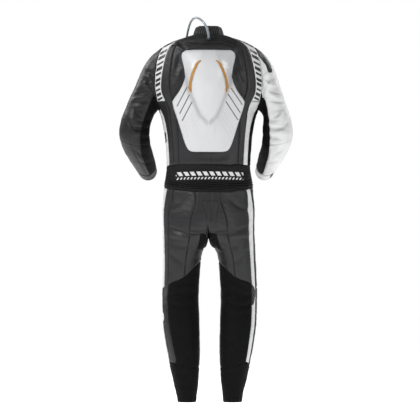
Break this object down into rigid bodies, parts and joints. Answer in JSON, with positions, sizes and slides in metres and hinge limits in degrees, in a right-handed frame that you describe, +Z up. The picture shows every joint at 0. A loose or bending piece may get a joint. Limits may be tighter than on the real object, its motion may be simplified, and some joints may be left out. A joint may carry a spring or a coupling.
{
  "type": "motorcycle race suit",
  "caption": "One-piece black and white leather motorcycle race suit, filled out as worn, with an aerodynamic back hump, stretch panels and a hydration hose.",
  "frame": {"origin": "middle of the neck opening at shoulder level, where the wearer's shoulders carry the suit", "axes": "+Z up along the body, +Y towards the wearer's front, +X to the wearer's right"},
  "size_m": [0.656, 0.3866, 1.4421],
  "materials": {
    "leather_black": "grained dark grey cowhide, semi matte",
    "leather_white": "grained white cowhide, semi matte",
    "stretch_black": "black ribbed stretch cloth, matt",
    "knit_black": "black rib knit and zip tape, matt",
    "hump_white": "white moulded shell, satin",
    "trim_ochre": "ochre trim, satin",
    "hose_clear": "clear blue grey hose",
    "plastic_black": "black moulded plastic",
    "zip_metal": "satin nickel"
  },
  "bodies": {
    "suit": {"yoke_back": "stretch_black", "back_centre": "leather_black", "lumbar_band": "stretch_black", "zip_tape": "knit_black", "collar": "knit_black", "seat_centre": "leather_black", "crotch_gusset": "stretch_black", "hump_shell": "hump_white", "hump_trim_left": "trim_ochre", "hump_trim_right": "trim_ochre", "zip_slider": "zip_metal", "hose_exit": "plastic_black", "hydration_hose": "hose_clear", "bite_valve": "plastic_black", "shoulder_left": "leather_black", "shoulder_right": "leather_black", "armhole_strip_left": "leather_white", "armhole_strip_right": "leather_white", "back_side_left": "leather_black", "back_side_right": "leather_black", "side_stripe_left": "leather_black", "side_stripe_right": "leather_white", "side_panel_left": "leather_white", "side_panel_right": "stretch_black", "front_left": "leather_black", "front_right": "leather_white", "front_waist_left": "leather_black", "front_waist_right": "leather_black", "thigh_back_left": "leather_black", "thigh_back_right": "leather_black", "thigh_inner_left": "leather_black", "thigh_inner_right": "leather_black", "leg_stripe_left": "leather_black", "leg_stripe_right": "leather_white", "thigh_side_left": "leather_white", "thigh_side_right": "leather_black", "thigh_front_left": "leather_black", "thigh_front_right": "leather_black", "knee_back_left": "stretch_black", "knee_back_right": "stretch_black", "calf_side_left": "leather_black", "calf_side_right": "leather_black", "knee_front_left": "leather_black", "knee_front_right": "leather_black", "shin_left": "leather_black", "shin_right": "leather_white", "calf_inner_left": "leather_black", "calf_inner_right": "leather_black", "ankle_cuff_left": "stretch_black", "ankle_cuff_right": "stretch_black", "sleeve_left": "leather_black", "sleeve_right": "leather_white", "sleeve_inner_left": "stretch_black", "sleeve_inner_right": "stretch_black", "forearm_left": "leather_black", "forearm_right": "leather_white", "cuff_left": "leather_black", "cuff_right": "leather_white"},
    "zip_pull": {"zip_pull": "zip_metal"}
  },
  "joints": [
    {"name": "zip_pull_swing", "type": "hinge", "parent": "suit", "child": "zip_pull", "pos_m": [0, 0.08088, -0.07053], "axis": [1, 0, 0], "range_deg": [0, 140]}
  ]
}
